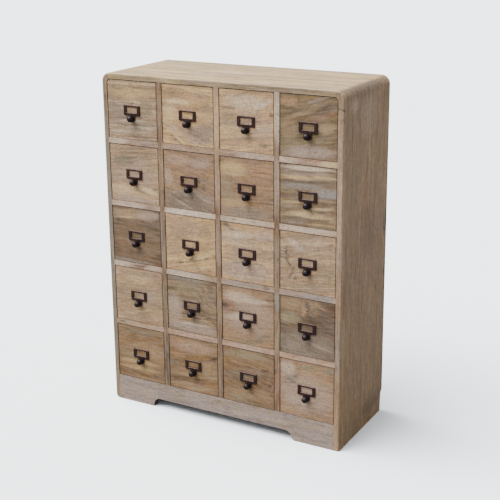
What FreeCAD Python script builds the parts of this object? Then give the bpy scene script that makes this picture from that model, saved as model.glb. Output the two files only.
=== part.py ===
import FreeCAD, Part

import math
import os

Vector = FreeCAD.Vector

# Spice drawer cabinet: a free-standing wooden case with four columns and five rows of small
# drawers. Millimetres, +Z up, the front facing -Y. The origin is on the floor under the middle
# of the whole cabinet, its knobs included.

# Case
case_width = 600.0
case_height = 800.0
case_depth = 244.0
columns = 4
rows = 5
board = 13.0             # thickness of the sides, top, dividers and shelves
plinth_height = 63.0     # floor to the top of the bottom shelf
edge_round = 3.0         # softened outer front edges
divider_ease = 0.6       # eased front edges of the dividers

# Rounded top corners, each a separate block between a side panel and the top board
corner_block = 32.0      # how far the block reaches along the top and down the side
corner_outer_radius = 20.0
corner_inner_radius = 10.0

# Housings that carry the shelves, stopped short of the front edge
housing_depth = 3.0
housing_stop = 10.0

# Back panel, let into a rebate
back_thickness = 4.0
back_rebate = 7.0

# Plinth board and feet
plinth_thickness = 18.0
foot_length = 110.0      # outer end of the case to the arch
arch_height = 22.0
arch_cove = 17.0         # length of the hollow curve at each end of the arch
left_lip_length = 2.0    # outward flare below that curve, cut by hand and wider on the right
left_lip_height = 3.0
right_lip_length = 8.5
right_lip_height = 10.0
ellipse_fullness = 0.552
lip_fullness = 0.25      # flatter than a quarter round
foot_round = 9.0         # worn lower corner of the left side panel
skirting_height = 52.0   # rear edge of the side panels, cut back to clear a skirting board
skirting_step = 7.0
skirting_step_height = 8.0
skirting_depth = 11.0
glue_block = 24.0
glue_block_length = 120.0

# Drawers
side_gap = 1.2           # between a drawer front and the uprights, each side
top_gap = 1.5            # above a drawer front
running_gap = 0.3        # below a drawer
stop_gap = 0.4           # between a shut drawer and the back panel
front_setback = 0.4      # drawer fronts stand this far behind the case's front edge
front_thickness = 12.0
front_ease = 0.7         # chamfer round the drawer fronts
drawer_side = 8.0        # thickness of drawer sides and back
drawer_side_drop = 16.0  # drawer sides are this much lower than the front
side_lap = 6.0           # the sides are let this far into rebates in the front
side_inset = 0.8         # drawer sides stand this far inside the ends of the front
bottom_thickness = 3.5
bottom_lift = 5.0        # underside of the drawer bottom above the lower edge of the sides
groove_depth = 4.0
groove_slack = 0.1

# Pulls: a label frame with a shoulder tab and a knob below it
plate_thickness = 2.4
frame_width = 43.5
frame_height = 23.5
frame_corner = 2.0
plate_ease = 0.8         # chamfer round the plate and its window
window_width = 28.0
window_height = 13.7
window_rise = 1.1        # the window sits above the middle of the frame
window_corner = 1.0
card_slot_margin = 2.5   # the card slot behind the frame is this much wider than the window
card_slot_depth = 0.8
tab_width = 17.0
knob_drop = 18.4         # middle of the frame to the middle of the knob
knob_radius = 7.2
knob_projection = 16.5   # drawer front to the tip of the knob
knob_collar_radius = 5.8
knob_collar_height = 0.8
knob_neck_radius = 4.2
knob_neck_length = 1.0
screw_radius = 2.0
screw_head_radius = 4.2
screw_head_height = 2.4
screw_engagement = 6.0   # how far the screw reaches into the knob

pick_distance = 0.01     # an edge this near a coordinate lies on it

knob_reach = knob_projection - front_setback
front_y = -(case_depth - knob_reach) / 2
rear_y = front_y + case_depth
half_width = case_width / 2
back_face_y = rear_y - back_thickness
shelf_start_y = front_y + housing_stop
plinth_back_y = front_y + plinth_thickness
opening_width = (case_width - (columns + 1) * board) / columns
opening_height = (case_height - board - plinth_height - (rows - 1) * board) / rows
drawer_width = opening_width - 2 * side_gap
drawer_height = opening_height - top_gap - running_gap
drawer_front_y = front_y + front_setback
drawer_rear_y = back_face_y - stop_gap


def box(x0, x1, y0, y1, z0, z1):
    """A block between three pairs of coordinates."""
    return Part.makeBox(x1 - x0, y1 - y0, z1 - z0, Vector(x0, y0, z0))


def column_left(column):
    """Left face of an opening, for columns counted from 1 on the left."""
    return -half_width + board + (column - 1) * (opening_width + board)


def row_bottom(row):
    """Bottom of an opening, for rows counted from 1 at the top."""
    return plinth_height + (rows - row) * (opening_height + board)


def extrude_outline(edges, direction):
    """A solid from a closed outline, its edges in any order."""
    wire = Part.Wire(Part.__sortEdges__(edges))
    return Part.Face(wire).extrude(direction)


def line(a, b):
    return Part.LineSegment(a, b).toShape()


def arc(a, middle, b):
    return Part.Arc(a, middle, b).toShape()


def along(edge, axis):
    """True if a straight edge runs along the axis."""
    if edge.Curve.TypeId != "Part::GeomLine":
        return False
    return abs(edge.tangentAt(edge.FirstParameter).dot(axis)) > 0.999


def edges_on(shape, axis, x=None, y=None, z=None):
    """The straight edges along an axis whose middle lies on the given coordinates."""
    found = []
    for edge in shape.Edges:
        if not along(edge, axis):
            continue
        middle = edge.CenterOfMass
        wanted = [(x, middle.x), (y, middle.y), (z, middle.z)]
        if all(want is None or abs(want - have) < pick_distance for want, have in wanted):
            found.append(edge)
    return found


def front_outline(shape, y):
    """The edges that bound a shape's flat front face at y."""
    return [edge for edge in shape.Edges if edge.BoundBox.YMax < y + pick_distance]


def cut_all(shape, cutters):
    """The shape less every cutter."""
    for cutter in cutters:
        shape = shape.cut(cutter)
    return shape


# --- case ---------------------------------------------------------------------------------

def shelf_heights():
    """Undersides of the four shelves between the rows."""
    return [row_bottom(row) - board for row in range(1, rows)]


def housing(face_x, direction, bottom, start_y):
    """Groove in the face of an upright at face_x; direction is +1 if it is cut towards +X."""
    x0, x1 = sorted((face_x, face_x + direction * housing_depth))
    return box(x0, x1, start_y, back_face_y, bottom, bottom + board)


def back_panel():
    """Thin panel that closes the back; the sides, corners and top are rebated for it."""
    return box(-half_width + board - back_rebate, half_width - board + back_rebate,
               back_face_y, rear_y, plinth_height - board, case_height - board + back_rebate)


def skirting_cutter():
    """Relief at the lower rear edge of the side panels."""
    top = Vector(-half_width, rear_y, skirting_height)
    step = Vector(-half_width, rear_y - skirting_step, skirting_height - skirting_step_height)
    foot = Vector(-half_width, rear_y - skirting_depth, 0)
    floor = Vector(-half_width, rear_y, 0)
    outline = [line(top, step), line(step, foot), line(foot, floor), line(floor, top)]
    return extrude_outline(outline, Vector(case_width, 0, 0))


def side_panel(side):
    """Upright end board; side is -1 for the left one and +1 for the right one."""
    outer = side * half_width
    inner = side * (half_width - board)
    x0, x1 = sorted((outer, inner))
    panel = box(x0, x1, front_y, rear_y, 0, case_height - corner_block)
    if side < 0:
        corner = edges_on(panel, Vector(0, 1, 0), x=outer, z=0)
        panel = panel.makeFillet(foot_round, corner)
    panel = panel.makeFillet(edge_round, edges_on(panel, Vector(0, 0, 1), x=outer, y=front_y))
    cutters = [housing(inner, side, bottom, shelf_start_y) for bottom in shelf_heights()]
    cutters.append(housing(inner, side, plinth_height - board, plinth_back_y))
    cutters.append(back_panel())
    cutters.append(skirting_cutter())
    return cut_all(panel, cutters)


def corner_piece(side):
    """Quarter-round block that turns from the side panel into the top board."""
    def point(x_from_end, z_from_top):
        return Vector(side * (half_width - x_from_end), front_y, case_height - z_from_top)

    def on_arc(centre, radius):
        reach = radius * (1 - 0.5 ** 0.5)
        offset = centre - radius + reach
        return point(offset, offset)

    inner_centre = board + corner_inner_radius
    outline = [
        line(point(0, corner_block), point(0, corner_outer_radius)),
        arc(point(0, corner_outer_radius), on_arc(corner_outer_radius, corner_outer_radius),
            point(corner_outer_radius, 0)),
        line(point(corner_outer_radius, 0), point(corner_block, 0)),
        line(point(corner_block, 0), point(corner_block, board)),
        line(point(corner_block, board), point(inner_centre, board)),
        arc(point(inner_centre, board), on_arc(inner_centre, corner_inner_radius),
            point(board, inner_centre)),
        line(point(board, inner_centre), point(board, corner_block)),
        line(point(board, corner_block), point(0, corner_block)),
    ]
    block = extrude_outline(outline, Vector(0, case_depth, 0))

    def is_outer(vertex):
        from_end = half_width - abs(vertex.X)
        from_top = case_height - vertex.Z
        return min(from_end, from_top) < pick_distance

    outer_edges = [edge for edge in front_outline(block, front_y)
                   if all(is_outer(vertex) for vertex in edge.Vertexes)]
    block = block.makeFillet(edge_round, outer_edges)
    return block.cut(back_panel())


def top_board():
    reach = half_width - corner_block
    top = box(-reach, reach, front_y, rear_y, case_height - board, case_height)
    edge = edges_on(top, Vector(1, 0, 0), y=front_y, z=case_height)
    top = top.makeFillet(edge_round, edge)
    cutters = [back_panel()]
    for column in range(2, columns + 1):
        left = column_left(column) - board
        cutters.append(box(left, left + board, shelf_start_y, back_face_y,
                           case_height - board, case_height - board + housing_depth))
    return cut_all(top, cutters)


def divider(index):
    """Upright between two columns, housed in the top board and standing on the bottom shelf."""
    left = column_left(index + 1) - board
    top_z = case_height - board
    upright = box(left, left + board, front_y, back_face_y, plinth_height, top_z)
    front_edges = edges_on(upright, Vector(0, 0, 1), y=front_y)
    upright = upright.makeFillet(divider_ease, front_edges)
    tongue = box(left, left + board, shelf_start_y, back_face_y,
                 top_z, top_z + housing_depth)
    upright = upright.fuse(tongue).removeSplitter()
    cutters = []
    for bottom in shelf_heights():
        cutters.append(housing(left, 1, bottom, shelf_start_y))
        cutters.append(housing(left + board, -1, bottom, shelf_start_y))
    return cut_all(upright, cutters)


def shelf_piece(column, bottom):
    """Short shelf between two uprights, its ends let into their housings behind the front."""
    left = column_left(column)
    right = left + opening_width
    nose = box(left, right, front_y, shelf_start_y, bottom, bottom + board)
    body = box(left - housing_depth, right + housing_depth, shelf_start_y, back_face_y,
               bottom, bottom + board)
    return nose.fuse(body).removeSplitter()


def shelf_row(row):
    bottom = row_bottom(row) - board
    return Part.makeCompound([shelf_piece(column, bottom) for column in range(1, columns + 1)])


def bottom_shelf():
    """Full-width shelf behind the plinth, under the lowest drawers."""
    reach = half_width - board + housing_depth
    return box(-reach, reach, plinth_back_y, back_face_y, plinth_height - board, plinth_height)


def quarter_curve(start, corner, end, fullness):
    """Curve from start to end whose end tangents meet in the corner; 0.552 makes an ellipse."""
    curve = Part.BezierCurve()
    curve.setPoles([start, start + (corner - start) * fullness,
                    end + (corner - end) * fullness, end])
    return curve.toShape()


def arch_end(side, lip_length, lip_height):
    """Edges of one end of the arch, from the floor to the flat: a flared lip, then a cove."""
    inward = -side
    foot_x = side * (half_width - foot_length)
    lip_x = foot_x + inward * lip_length
    flat_x = lip_x + inward * arch_cove
    floor_point = Vector(foot_x, front_y, 0)
    lip_point = Vector(lip_x, front_y, lip_height)
    flat_point = Vector(flat_x, front_y, arch_height)
    lip = quarter_curve(floor_point, Vector(lip_x, front_y, 0), lip_point, lip_fullness)
    cove = quarter_curve(lip_point, Vector(lip_x, front_y, arch_height), flat_point,
                         ellipse_fullness)
    return floor_point, lip, cove, flat_point


def plinth():
    """Front board between the side panels, with the arch cut out between two feet."""
    reach = half_width - board
    left_floor, left_lip, left_cove, left_flat = arch_end(-1, left_lip_length, left_lip_height)
    right_floor, right_lip, right_cove, right_flat = arch_end(1, right_lip_length,
                                                              right_lip_height)
    low_left = Vector(-reach, front_y, 0)
    low_right = Vector(reach, front_y, 0)
    high_left = Vector(-reach, front_y, plinth_height)
    high_right = Vector(reach, front_y, plinth_height)
    outline = [
        line(low_left, left_floor), left_lip, left_cove, line(left_flat, right_flat),
        right_cove, right_lip, line(right_floor, low_right), line(low_right, high_right),
        line(high_right, high_left), line(high_left, low_left),
    ]
    return extrude_outline(outline, Vector(0, plinth_thickness, 0))


def corner_glue_block(side):
    """Three-sided block behind a foot, in the angle of the plinth and the bottom shelf."""
    top = plinth_height - board
    start = side * (half_width - board)
    x0, x1 = sorted((start, start - side * glue_block_length))
    inner = Vector(x0, plinth_back_y, top)
    behind = Vector(x0, plinth_back_y + glue_block, top)
    below = Vector(x0, plinth_back_y, top - glue_block)
    outline = [line(inner, behind), line(behind, below), line(below, inner)]
    return extrude_outline(outline, Vector(x1 - x0, 0, 0))


# --- drawers and pulls ----------------------------------------------------------------------

def drawer_front(left, bottom, rounded_side):
    """Drawer front, with one upper corner rounded where the case corner is."""
    right = left + drawer_width
    top = bottom + drawer_height
    front = box(left, right, drawer_front_y, drawer_front_y + front_thickness, bottom, top)
    if rounded_side:
        corner_x = left if rounded_side < 0 else right
        edge = edges_on(front, Vector(0, 1, 0), x=corner_x, z=top)
        front = front.makeFillet(corner_inner_radius - side_gap, edge)
    return front.makeChamfer(front_ease, front_outline(front, drawer_front_y))


def drawer(column, row):
    """Front, sides, back and bottom of one drawer, as separate pieces.

    The sides are let into stopped rebates in the front. The bottom is slid from behind into
    grooves in the sides and front, under the back.
    """
    left = column_left(column) + side_gap
    bottom = row_bottom(row) + running_gap
    rounded_side = 0
    if row == 1 and column == 1:
        rounded_side = -1
    if row == 1 and column == columns:
        rounded_side = 1
    front = drawer_front(left, bottom, rounded_side)
    right = left + drawer_width
    joint_y = drawer_front_y + front_thickness
    side_top = bottom + drawer_height - drawer_side_drop
    outer_left = left + side_inset
    outer_right = right - side_inset
    inner_left = outer_left + drawer_side
    inner_right = outer_right - drawer_side
    back_front_y = drawer_rear_y - drawer_side
    lap_y = joint_y - side_lap
    panel_z = bottom + bottom_lift
    panel_top = panel_z + bottom_thickness
    panel = box(inner_left - groove_depth, inner_right + groove_depth, joint_y - groove_depth,
                drawer_rear_y, panel_z, panel_top)
    groove_reach = groove_depth + groove_slack
    groove = box(inner_left - groove_reach, inner_right + groove_reach, joint_y - groove_reach,
                 drawer_rear_y, panel_z, panel_top + groove_slack)
    left_side = box(outer_left, inner_left, lap_y, drawer_rear_y, bottom, side_top)
    right_side = box(inner_right, outer_right, lap_y, drawer_rear_y, bottom, side_top)
    left_rebate = box(left, inner_left, lap_y, joint_y, bottom, side_top)
    right_rebate = box(inner_right, right, lap_y, joint_y, bottom, side_top)
    back = box(inner_left, inner_right, back_front_y, drawer_rear_y, panel_top, side_top)
    axis_x, axis_z = knob_axis(column, row)
    bore = Part.makeCylinder(screw_radius, front_thickness,
                             Vector(axis_x, drawer_front_y, axis_z), Vector(0, 1, 0))
    front = cut_all(front, [left_rebate, right_rebate, groove, bore])
    return Part.makeCompound([front, left_side.cut(groove), right_side.cut(groove), back, panel])


def frame_centre(column, row):
    """Middle of the label frame, in the middle of the drawer front."""
    x = column_left(column) + opening_width / 2
    z = row_bottom(row) + running_gap + drawer_height / 2
    return x, z


def knob_axis(column, row):
    x, z = frame_centre(column, row)
    return x, z - knob_drop


def label_plate():
    """Frame and tab in one cast plate, about the middle of the frame, its back on y = 0.

    Both edges of its bars are chamfered. A card slides down behind the window from above.
    """
    window_bottom = window_rise - window_height / 2
    frame = box(-frame_width / 2, frame_width / 2, -plate_thickness, 0,
                -frame_height / 2, frame_height / 2)
    frame = frame.makeFillet(frame_corner, edges_on(frame, Vector(0, 1, 0)))
    tab = box(-tab_width / 2, tab_width / 2, -plate_thickness, 0, -knob_drop, 0)
    tab_end = Part.makeCylinder(tab_width / 2, plate_thickness, Vector(0, 0, -knob_drop),
                                Vector(0, -1, 0))
    window = box(-window_width / 2, window_width / 2, -plate_thickness, 0,
                 window_bottom, window_bottom + window_height)
    window = window.makeFillet(window_corner, edges_on(window, Vector(0, 1, 0)))
    plate = frame.fuse([tab, tab_end]).removeSplitter().cut(window)
    plate = plate.makeChamfer(plate_ease, front_outline(plate, -plate_thickness))
    slot_reach = window_width / 2 + card_slot_margin
    slot = box(-slot_reach, slot_reach, -card_slot_depth, 0,
               window_bottom - card_slot_margin, frame_height / 2)
    bore = Part.makeCylinder(screw_radius, plate_thickness, Vector(0, 0, -knob_drop),
                             Vector(0, -1, 0))
    return cut_all(plate, [slot, bore])


def knob():
    """Turned knob on its own axis: collar, neck and a ball, with a blind bore for the screw."""
    base = plate_thickness
    neck_start = base + knob_collar_height
    neck_end = neck_start + knob_neck_length
    widest = knob_projection - knob_radius
    spread = knob_radius - knob_neck_radius
    rise = widest - neck_end
    cheek_radius = (spread ** 2 + rise ** 2) / (2 * spread)
    cheek_centre = knob_radius - cheek_radius
    cheek_turn = math.atan2(rise, knob_neck_radius - cheek_centre) / 2
    dome_reach = knob_radius * 0.5 ** 0.5

    def at(radius, out):
        return Vector(radius, -out, 0)

    profile = [
        line(at(0, base), at(knob_collar_radius, base)),
        line(at(knob_collar_radius, base), at(knob_collar_radius, neck_start)),
        line(at(knob_collar_radius, neck_start), at(knob_neck_radius, neck_start)),
        line(at(knob_neck_radius, neck_start), at(knob_neck_radius, neck_end)),
        arc(at(knob_neck_radius, neck_end),
            at(cheek_centre + cheek_radius * math.cos(cheek_turn),
               widest - cheek_radius * math.sin(cheek_turn)),
            at(knob_radius, widest)),
        arc(at(knob_radius, widest), at(dome_reach, widest + dome_reach),
            at(0, knob_projection)),
        line(at(0, knob_projection), at(0, base)),
    ]
    turned = Part.Face(Part.Wire(profile)).revolve(Vector(0, 0, 0), Vector(0, 1, 0), 360)
    bore = Part.makeCylinder(screw_radius, screw_engagement, Vector(0, -base, 0),
                             Vector(0, -1, 0))
    return turned.cut(bore)


def pull_screw():
    """Machine screw from inside the drawer into the knob, about the knob's axis."""
    length = front_thickness + plate_thickness + screw_engagement
    shank = Part.makeCylinder(screw_radius, length, Vector(0, front_thickness, 0),
                              Vector(0, -1, 0))
    head = Part.makeCylinder(screw_head_radius, screw_head_height,
                             Vector(0, front_thickness, 0), Vector(0, 1, 0))
    return shank.fuse(head).removeSplitter()


def pull(column, row):
    """Label plate, knob and screw of one drawer."""
    x, z = frame_centre(column, row)
    plate = label_plate()
    plate.translate(Vector(x, drawer_front_y, z))
    pieces = [plate]
    for piece in (knob(), pull_screw()):
        piece.translate(Vector(x, drawer_front_y, z - knob_drop))
        pieces.append(piece)
    return Part.makeCompound(pieces)


# --- sub-parts ------------------------------------------------------------------------------

nodes = {
    "side_panel_left": side_panel(-1),
    "side_panel_right": side_panel(1),
    "corner_block_left": corner_piece(-1),
    "corner_block_right": corner_piece(1),
    "top_board": top_board(),
    "bottom_shelf": bottom_shelf(),
    "plinth_board": plinth(),
    "glue_block_left": corner_glue_block(-1),
    "glue_block_right": corner_glue_block(1),
    "back_panel": back_panel(),
}
for index in range(1, columns):
    nodes["divider_%d" % index] = divider(index)
for row in range(1, rows):
    nodes["shelf_row_%d" % row] = shelf_row(row)
for row in range(1, rows + 1):
    for column in range(1, columns + 1):
        nodes["drawer_r%dc%d" % (row, column)] = drawer(column, row)
        nodes["pull_r%dc%d" % (row, column)] = pull(column, row)

os.makedirs("parts", exist_ok=True)
for name, shape in nodes.items():
    shape.exportStep(os.path.join("parts", name + ".step"))
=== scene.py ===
import math

import bpy
from mathutils import Matrix, Vector


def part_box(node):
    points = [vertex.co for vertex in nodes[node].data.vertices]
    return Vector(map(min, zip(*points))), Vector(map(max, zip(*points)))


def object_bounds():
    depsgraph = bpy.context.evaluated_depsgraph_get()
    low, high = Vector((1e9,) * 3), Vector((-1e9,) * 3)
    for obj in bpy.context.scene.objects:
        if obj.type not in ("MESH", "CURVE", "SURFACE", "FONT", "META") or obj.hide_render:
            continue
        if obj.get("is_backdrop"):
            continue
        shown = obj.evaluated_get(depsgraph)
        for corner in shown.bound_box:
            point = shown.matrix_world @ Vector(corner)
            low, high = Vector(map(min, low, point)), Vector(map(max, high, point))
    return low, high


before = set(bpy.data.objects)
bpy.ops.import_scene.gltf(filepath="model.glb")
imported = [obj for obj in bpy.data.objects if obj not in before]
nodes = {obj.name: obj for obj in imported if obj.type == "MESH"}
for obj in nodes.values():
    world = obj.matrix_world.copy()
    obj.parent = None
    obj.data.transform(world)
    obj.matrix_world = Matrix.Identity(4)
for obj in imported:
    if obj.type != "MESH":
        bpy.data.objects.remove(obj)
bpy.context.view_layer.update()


# --- Side panels ------------------------------------------------------------------------------
# Each side is one board glued up from mango staves, with its grain upright. The wood is sanded,
# given a thin wash of lime that stays in the grain, and left matt. The rounded corner above it
# is a block mitred from the side's wood and the top's, so the joint runs over the round.
MM = 1000.0  # the wood is drawn in millimetres
QUARTER = math.pi / 2
HALF_WIDTH, HEIGHT = 300.0, 800.0  # of the case, in mm
SPREAD = {"From Min": 0.3, "From Max": 0.7}  # nearly all of a noise's values lie in here


def linear(tone):
    """sRGB hex to linear RGBA: c/12.92 up to 0.04045, above it ((c + 0.055)/1.055)^2.4."""
    levels = [int(tone[i:i + 2], 16) / 255 for i in (1, 3, 5)]
    return (*[c / 12.92 if c <= 0.04045 else ((c + 0.055) / 1.055) ** 2.4 for c in levels], 1.0)


def add(tree, kind, settings, inputs):
    """Adds a node with its settings. An input is a value, a socket, or a node's first output."""
    node = tree.nodes.new("ShaderNode" + kind)
    for name, value in settings.items():
        setattr(node, name, value)
    for name, value in inputs.items():
        if isinstance(value, bpy.types.Node):
            value = next(socket for socket in value.outputs if socket.enabled)
        if isinstance(value, bpy.types.NodeSocket):
            tree.links.new(value, node.inputs[name])
        else:
            node.inputs[name].default_value = value
    return node


SEED_STEP, RING_STEP = (137.0, 71.0, 39.0), 53.0  # mm of wood from one board's seed to the next
YEAR = 3.6  # a year's ring is 3 to 5 mm, fine enough to show only as thin lines
# How long and how wide the spots of each noise are, in mm along and across the grain, then its
# detail and roughness. Interlocked grain shows as a faint ripple across the board. A vessel is
# 0.2 mm wide, drawn over a millimetre wide so that it shows.
STREAKS = {"bend": (200.0, 60.0, 1.0, 0.5), "thread": (17.0, 2.1, 4.0, 0.7),
           "cloud": (80.0, 30.0, 3.0, 0.6), "mottle": (5.0, 3.4, 2.0, 0.6),
           "ripple": (2.2, 11.0, 2.0, 0.6), "vessel": (9.0, 1.3, 1.0, 0.5),
           "wash": (40.0, 5.0, 3.0, 0.65), "drift": (42.0, 17.0, 2.0, 0.5)}


def limed_mango_figure():
    """The solid figure of limed mango wood, in millimetres, with x along the grain.

    The heart of the tree lies on the x axis. A growth ring is a distance from it, bent by slow
    noise. Bands of colour follow the rings, and threads, pores and clouds drawn out along the
    grain lie over them, with the lime wash last.
    """
    group = bpy.data.node_groups.new("limed mango figure", "ShaderNodeTree")
    for way, kind, names in (
            ("INPUT", "Vector", ("Point",)), ("INPUT", "Color", ("Pale", "Mid", "Dark")),
            ("INPUT", "Float", ("Seed", "Wave", "Swirl", "Band", "Contrast", "Drift",
                                "Straight")),
            ("OUTPUT", "Color", ("Ground",)),
            ("OUTPUT", "Float", ("Grain", "Pit", "White", "Thread"))):
        for name in names:
            group.interface.new_socket(name, in_out=way, socket_type="NodeSocket" + kind)
    given = group.nodes.new("NodeGroupInput").outputs
    step = add(group, "VectorMath", {"operation": "SCALE"},
               {0: SEED_STEP, "Scale": given["Seed"]})
    seeded = add(group, "VectorMath", {"operation": "ADD"}, {0: given["Point"], 1: step})
    # Straight-grained wood has longer threads: x is divided by how straight the grain is
    reach = add(group, "CombineXYZ", {}, {0: given["Straight"], 1: 1.0, 2: 1.0})
    place = add(group, "VectorMath", {"operation": "DIVIDE"}, {0: seeded, 1: reach})
    streaks = {}
    for name, (along, across, detail, roughness) in STREAKS.items():
        squeezed = add(group, "VectorMath", {"operation": "DIVIDE"},
                       {0: place, 1: (along, across, across)})
        streaks[name] = add(group, "TexNoise", {}, {"Vector": squeezed, "Scale": 1.0,
                                                    "Detail": detail, "Roughness": roughness})

    # The rings: how far a point is from the heart, once the wood is bent
    slow = add(group, "VectorMath", {"operation": "SUBTRACT"},
               {0: streaks["bend"].outputs["Color"], 1: (0.5, 0.5, 0.5)})
    bend = add(group, "VectorMath", {"operation": "SCALE"}, {0: slow, "Scale": given["Wave"]})
    bent = add(group, "VectorMath", {"operation": "ADD"}, {0: given["Point"], 1: bend})
    flat = add(group, "VectorMath", {"operation": "MULTIPLY"}, {0: bent, 1: (0.0, 1.0, 1.0)})
    radius = add(group, "VectorMath", {"operation": "LENGTH"}, {0: flat}).outputs["Value"]
    knotted = add(group, "Math", {"operation": "ADD"}, {0: radius, 1: given["Swirl"]})
    ring = add(group, "Math", {"operation": "MULTIPLY_ADD"},
               {0: given["Seed"], 1: RING_STEP, 2: knotted})
    wide, year = [
        add(group, "TexNoise", {"noise_dimensions": "1D"},
            {"W": add(group, "Math", {"operation": "DIVIDE"}, {0: ring, 1: breadth}),
             "Scale": 1.0, "Detail": detail, "Roughness": 0.6})
        for breadth, detail in ((given["Band"], 3.0), (YEAR, 2.0))]

    # How early in the year the wood is: 0 is dark late wood, 1 the palest
    swing = add(group, "Math", {"operation": "SUBTRACT"}, {0: wide, 1: 0.5})
    fine = add(group, "Math", {"operation": "MULTIPLY_ADD"}, {0: year, 1: 0.55, 2: -0.275})
    both = add(group, "Math", {"operation": "ADD"}, {0: swing, 1: fine})
    tuned = add(group, "Math", {"operation": "MULTIPLY"}, {0: both, 1: given["Contrast"]})
    veil = add(group, "Math", {"operation": "MULTIPLY_ADD"},
               {0: streaks["cloud"], 1: 1.3, 2: -0.15})
    level = add(group, "Math", {"operation": "ADD", "use_clamp": True}, {0: tuned, 1: veil})
    low = add(group, "MapRange", {"interpolation_type": "SMOOTHSTEP"},
              {"Value": level, "From Min": 0.0, "From Max": 0.5})
    high = add(group, "MapRange", {"interpolation_type": "SMOOTHSTEP"},
               {"Value": level, "From Min": 0.45, "From Max": 1.0})
    late = add(group, "Mix", {"data_type": "RGBA"}, {0: low, 6: given["Dark"], 7: given["Mid"]})
    banded = add(group, "Mix", {"data_type": "RGBA"}, {0: high, 6: late, 7: given["Pale"]})

    # Threads, mottle and ripple make it lighter and darker by these factors
    shade, fuzz, rippled = [
        add(group, "MapRange", {}, {"Value": streaks[name], **SPREAD, "To Min": darkest,
                                    "To Max": lightest})
        for name, darkest, lightest in (("thread", 0.62, 1.34), ("mottle", 0.80, 1.20),
                                        ("ripple", 0.86, 1.14))]
    grainy = add(group, "Math", {"operation": "MULTIPLY"}, {0: shade, 1: fuzz})
    grainy = add(group, "Math", {"operation": "MULTIPLY"}, {0: grainy, 1: rippled})
    # Mango shifts between straw yellow and pinkish grey from place to place
    drift = add(group, "MapRange", {"interpolation_type": "SMOOTHSTEP"},
                {"Value": streaks["drift"], "From Min": 0.32, "From Max": 0.68})
    cast = add(group, "Mix", {"data_type": "RGBA"},
               {0: drift, 6: (0.97, 0.98, 1.10, 1.0), 7: (1.04, 1.02, 0.84, 1.0)})
    hue = add(group, "Mix", {"data_type": "RGBA"},
              {0: given["Drift"], 6: (1.0, 1.0, 1.0, 1.0), 7: cast})
    tinted = add(group, "VectorMath", {"operation": "MULTIPLY"},
                 {0: banded.outputs[2], 1: hue.outputs[2]})
    pit = add(group, "MapRange", {}, {"Value": streaks["vessel"], "From Min": 0.60,
                                      "From Max": 0.76, "To Min": 0.0, "To Max": 0.6})
    white = add(group, "MapRange", {}, {"Value": streaks["wash"], "From Min": 0.4,
                                        "From Max": 0.72, "To Min": 0.1, "To Max": 1.0})
    out = group.nodes.new("NodeGroupOutput")
    for name, node in {"Ground": tinted, "Grain": grainy, "Pit": pit, "White": white,
                       "Thread": streaks["thread"]}.items():
        group.links.new(node.outputs[0], out.inputs[name])
    return group


figure = limed_mango_figure()
# Stains for the marks and joints; ink is also the colour of the painted shade in the gaps and at
# the edges of the drawer fronts
STAIN_AND_SHADE = {"cream": "#c8ac7e", "butter": "#b39460", "white": "#bba68e", "pinkgrey": "#998273",
         "pink": "#a18068", "tan": "#8d7354", "gold": "#886d4c", "orange": "#926c4b",
         "rust": "#75513b", "brown": "#665340", "umber": "#493c30", "olive": "#675b46",
         "moss": "#79694c", "grey": "#72675a", "slate": "#7d7773", "ink": "#352c25",
         "ash": "#c6b29e", "straw": "#c0a56d", "bark": "#402a1b"}
STAIN_DEPTH = 45.0  # how far a stain goes into the wood, in mm
PORE, LIME = "#4e3f32", "#b8a48f"
# What makes a mark's edge ragged: noise with spots this long and this wide in mm, and how far it
# pushes the edge along and across the grain, in metres
RAGGED = ((34.0, 3.2, 0.018, 0.005), (60.0, 26.0, 0.010, 0.008))


def wood(tones, turn, heart, seed, face_at=0.0, wave=26.0, band=16.0, contrast=1.3, lime=0.3,
         drift=1.0, straight=1.0):
    """One board's cut: its tones, how its grain is turned, where the heart ran and its seed.

    The face that shows is at face_at. The heart bends by wave and the bands of colour are band
    wide, all in mm. The rest says how strong the bands, lime and drift of hue are, and how many
    times longer the threads are than usual.
    """
    return dict(tones=tones, turn=turn, heart=heart, seed=seed, face_at=face_at, wave=wave,
                band=band, contrast=contrast, lime=lime, drift=drift, straight=straight)


def grain_point(tree, position, turn, heart):
    """Where a point lies in the tree: turned so that the grain runs along x, heart at zero."""
    to_tree = Matrix.Rotation(turn[2], 3, "Z") @ Matrix.Rotation(turn[1], 3, "Y")
    return add(tree, "Mapping", {}, {"Vector": position,
                                     "Location": -(to_tree @ Vector(heart)),
                                     "Rotation": to_tree.to_euler(), "Scale": (MM, MM, MM)})


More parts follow.
